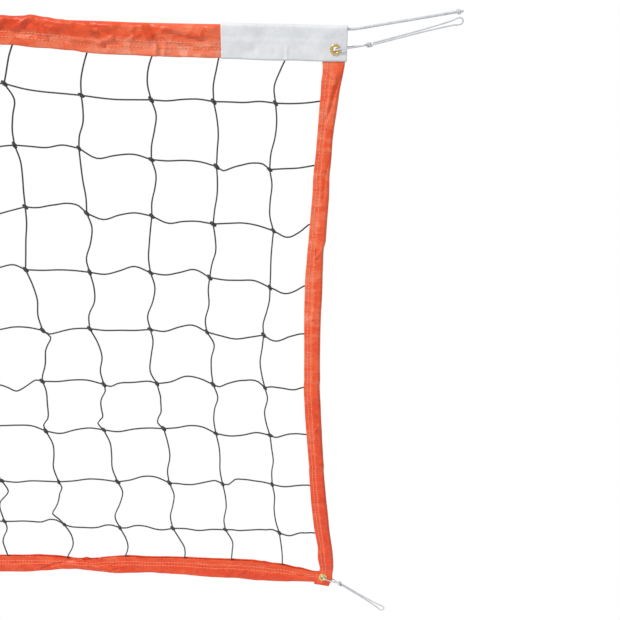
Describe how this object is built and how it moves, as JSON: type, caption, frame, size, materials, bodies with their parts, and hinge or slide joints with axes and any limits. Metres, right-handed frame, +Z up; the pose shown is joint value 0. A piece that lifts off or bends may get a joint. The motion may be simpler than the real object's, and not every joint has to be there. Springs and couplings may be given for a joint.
{
  "type": "volleyball net",
  "caption": "Full-length outdoor volleyball net: black square-mesh netting with orange taped edges, a headline cord in the top hem and a knotted tie cord at each corner grommet.",
  "frame": {"origin": "on the axis of the headline cord in the top hem, midway between the two ends of the net", "axes": "+X along the net, +Y through its thickness away from the front, +Z up"},
  "size_m": [10.085, 0.0168, 1.0816],
  "materials": {
    "twine": "black twisted twine, matt",
    "orange_tape": "orange vinyl-coated tape, creased, semi-gloss",
    "header_panel": "white vinyl-coated panel, semi-gloss, blank",
    "brass": "rolled brass, worn bright",
    "headline": "white braided cord",
    "tie_cord": "white thin braided cord"
  },
  "bodies": {
    "headline": {"headline": "headline", "headline_lead_left": "headline", "headline_knot_left": "headline", "headline_lead_right": "headline", "headline_knot_right": "headline"},
    "net": {"netting": "twine", "top_tape": "orange_tape", "bottom_tape": "orange_tape", "side_tape_left": "orange_tape", "side_tape_right": "orange_tape", "header_panel_left": "header_panel", "header_panel_right": "header_panel", "grommet_eyelet_top_left": "brass", "grommet_washer_top_left": "brass", "grommet_eyelet_bottom_left": "brass", "grommet_washer_bottom_left": "brass", "grommet_eyelet_top_right": "brass", "grommet_washer_top_right": "brass", "grommet_eyelet_bottom_right": "brass", "grommet_washer_bottom_right": "brass"},
    "tie_top_left": {"tie_loop_top_left": "tie_cord", "tie_knot_top_left": "tie_cord", "tie_lead_top_left": "tie_cord"},
    "tie_bottom_left": {"tie_loop_bottom_left": "tie_cord", "tie_knot_bottom_left": "tie_cord", "tie_lead_bottom_left": "tie_cord"},
    "tie_top_right": {"tie_loop_top_right": "tie_cord", "tie_knot_top_right": "tie_cord", "tie_lead_top_right": "tie_cord"},
    "tie_bottom_right": {"tie_loop_bottom_right": "tie_cord", "tie_knot_bottom_right": "tie_cord", "tie_lead_bottom_right": "tie_cord"}
  },
  "joints": [
    {"name": "net_swing", "type": "hinge", "parent": "headline", "child": "net", "pos_m": [0, 0, 0], "axis": [1, 0, 0], "range_deg": [-45, 45]},
    {"name": "tie_top_left_pivot", "type": "hinge", "parent": "net", "child": "tie_top_left", "pos_m": [-4.86, 0, -0.0287], "axis": [0, 1, 0], "range_deg": [-60, 0]},
    {"name": "tie_bottom_left_pivot", "type": "hinge", "parent": "net", "child": "tie_bottom_left", "pos_m": [-4.862, 0, -0.9767], "axis": [0, 1, 0], "range_deg": [-65, 60]},
    {"name": "tie_top_right_pivot", "type": "hinge", "parent": "net", "child": "tie_top_right", "pos_m": [4.86, 0, -0.0287], "axis": [0, -1, 0], "range_deg": [-60, 0]},
    {"name": "tie_bottom_right_pivot", "type": "hinge", "parent": "net", "child": "tie_bottom_right", "pos_m": [4.862, 0, -0.9767], "axis": [0, -1, 0], "range_deg": [-65, 60]}
  ]
}
